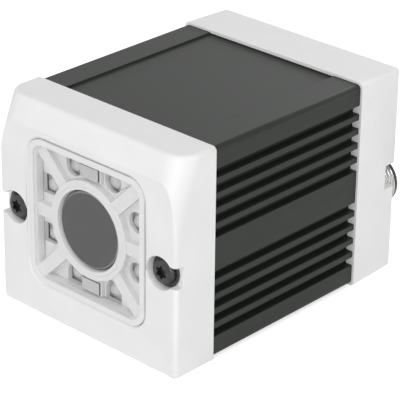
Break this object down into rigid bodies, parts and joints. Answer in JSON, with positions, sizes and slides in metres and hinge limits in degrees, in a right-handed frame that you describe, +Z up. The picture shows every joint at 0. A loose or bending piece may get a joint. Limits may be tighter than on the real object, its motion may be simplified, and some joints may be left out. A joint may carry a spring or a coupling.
{
  "type": "machine vision camera",
  "caption": "Compact machine vision camera with a lit square window, finned body, two round connectors and a focus screw at the back.",
  "frame": {"origin": "on the underside, at the middle of the whole length with connectors, and of the width", "axes": "+Y from the window towards the connectors, +Z up, +X to the right seen from the front"},
  "size_m": [0.049, 0.078, 0.046],
  "materials": {
    "cover_white": "fine moulded white plastic",
    "reflector_white": "smooth white plastic",
    "body_black": "black anodised extrusion",
    "pane_clear": "clear pane",
    "filter_dark": "dark filter glass",
    "lens_glass": "coated lens",
    "lamp_clear": "clear domed lamp",
    "light_guide": "milky clear plastic",
    "screw_black": "black zinc plated steel",
    "gasket_black": "rubber",
    "board_green": "printed board with solder mask",
    "chip_black": "moulded chip housing",
    "sensor_glass": "sensor under cover glass",
    "barrel_black": "black anodised, turned",
    "frame_black": "glass filled black plastic",
    "steel": "ground steel",
    "spacer_nickel": "nickel plated",
    "shell_nickel": "nickel plated brass",
    "insert_black": "moulded contact carrier",
    "contact_gold": "gold plated contact"
  },
  "bodies": {
    "root": {"front_cover": "cover_white", "rear_cover": "cover_white", "reflector": "reflector_white", "body": "body_black", "window_pane": "pane_clear", "lens_filter": "filter_dark", "led_lamp_1": "lamp_clear", "led_lamp_2": "lamp_clear", "led_lamp_3": "lamp_clear", "led_lamp_4": "lamp_clear", "led_lamp_5": "lamp_clear", "led_lamp_6": "lamp_clear", "led_lamp_7": "lamp_clear", "led_lamp_8": "lamp_clear", "target_light_top": "light_guide", "target_light_bottom": "light_guide", "status_light_1": "light_guide", "status_light_2": "light_guide", "status_light_3": "light_guide", "front_screw_left": "screw_black", "front_screw_right": "screw_black", "rear_screw_left": "screw_black", "rear_screw_right": "screw_black", "front_seal": "gasket_black", "rear_seal": "gasket_black", "window_seal": "gasket_black", "focus_seal": "gasket_black", "network_seal": "gasket_black", "power_seal": "gasket_black", "led_board": "board_green", "sensor_board": "board_green", "processor_board": "board_green", "interface_board": "board_green", "processor_chip": "chip_black", "board_link_front": "chip_black", "board_link_rear": "chip_black", "image_sensor": "sensor_glass", "optics_frame": "frame_black", "guide_pin_left": "steel", "guide_pin_right": "steel", "front_spacers": "spacer_nickel", "rear_spacers": "spacer_nickel", "network_shell": "shell_nickel", "power_shell": "shell_nickel", "network_insert": "insert_black", "power_insert": "insert_black", "network_contact_1": "contact_gold", "network_contact_2": "contact_gold", "network_contact_3": "contact_gold", "network_contact_4": "contact_gold", "power_pin_1": "contact_gold", "power_pin_2": "contact_gold", "power_pin_3": "contact_gold", "power_pin_4": "contact_gold"},
    "focus_shaft": {"focus_screw": "steel", "focus_clip": "steel"},
    "lens_slide": {"lens_carriage": "barrel_black", "lens_barrel": "barrel_black", "front_lens": "lens_glass"}
  },
  "joints": [
    {"name": "focus_turn", "type": "hinge", "parent": "root", "child": "focus_shaft", "pos_m": [0, 0.026, 0.03465], "axis": [0, -1, 0], "range_deg": [-545, 545]},
    {"name": "focus_travel", "type": "slide", "parent": "root", "child": "lens_slide", "axis": [0, 1, 0], "range_m": [-0.00075, 0.00075]}
  ],
  "couplings": [
    {"joint": "focus_turn", "follows": "focus_travel", "rad_per_m": 12566}
  ]
}
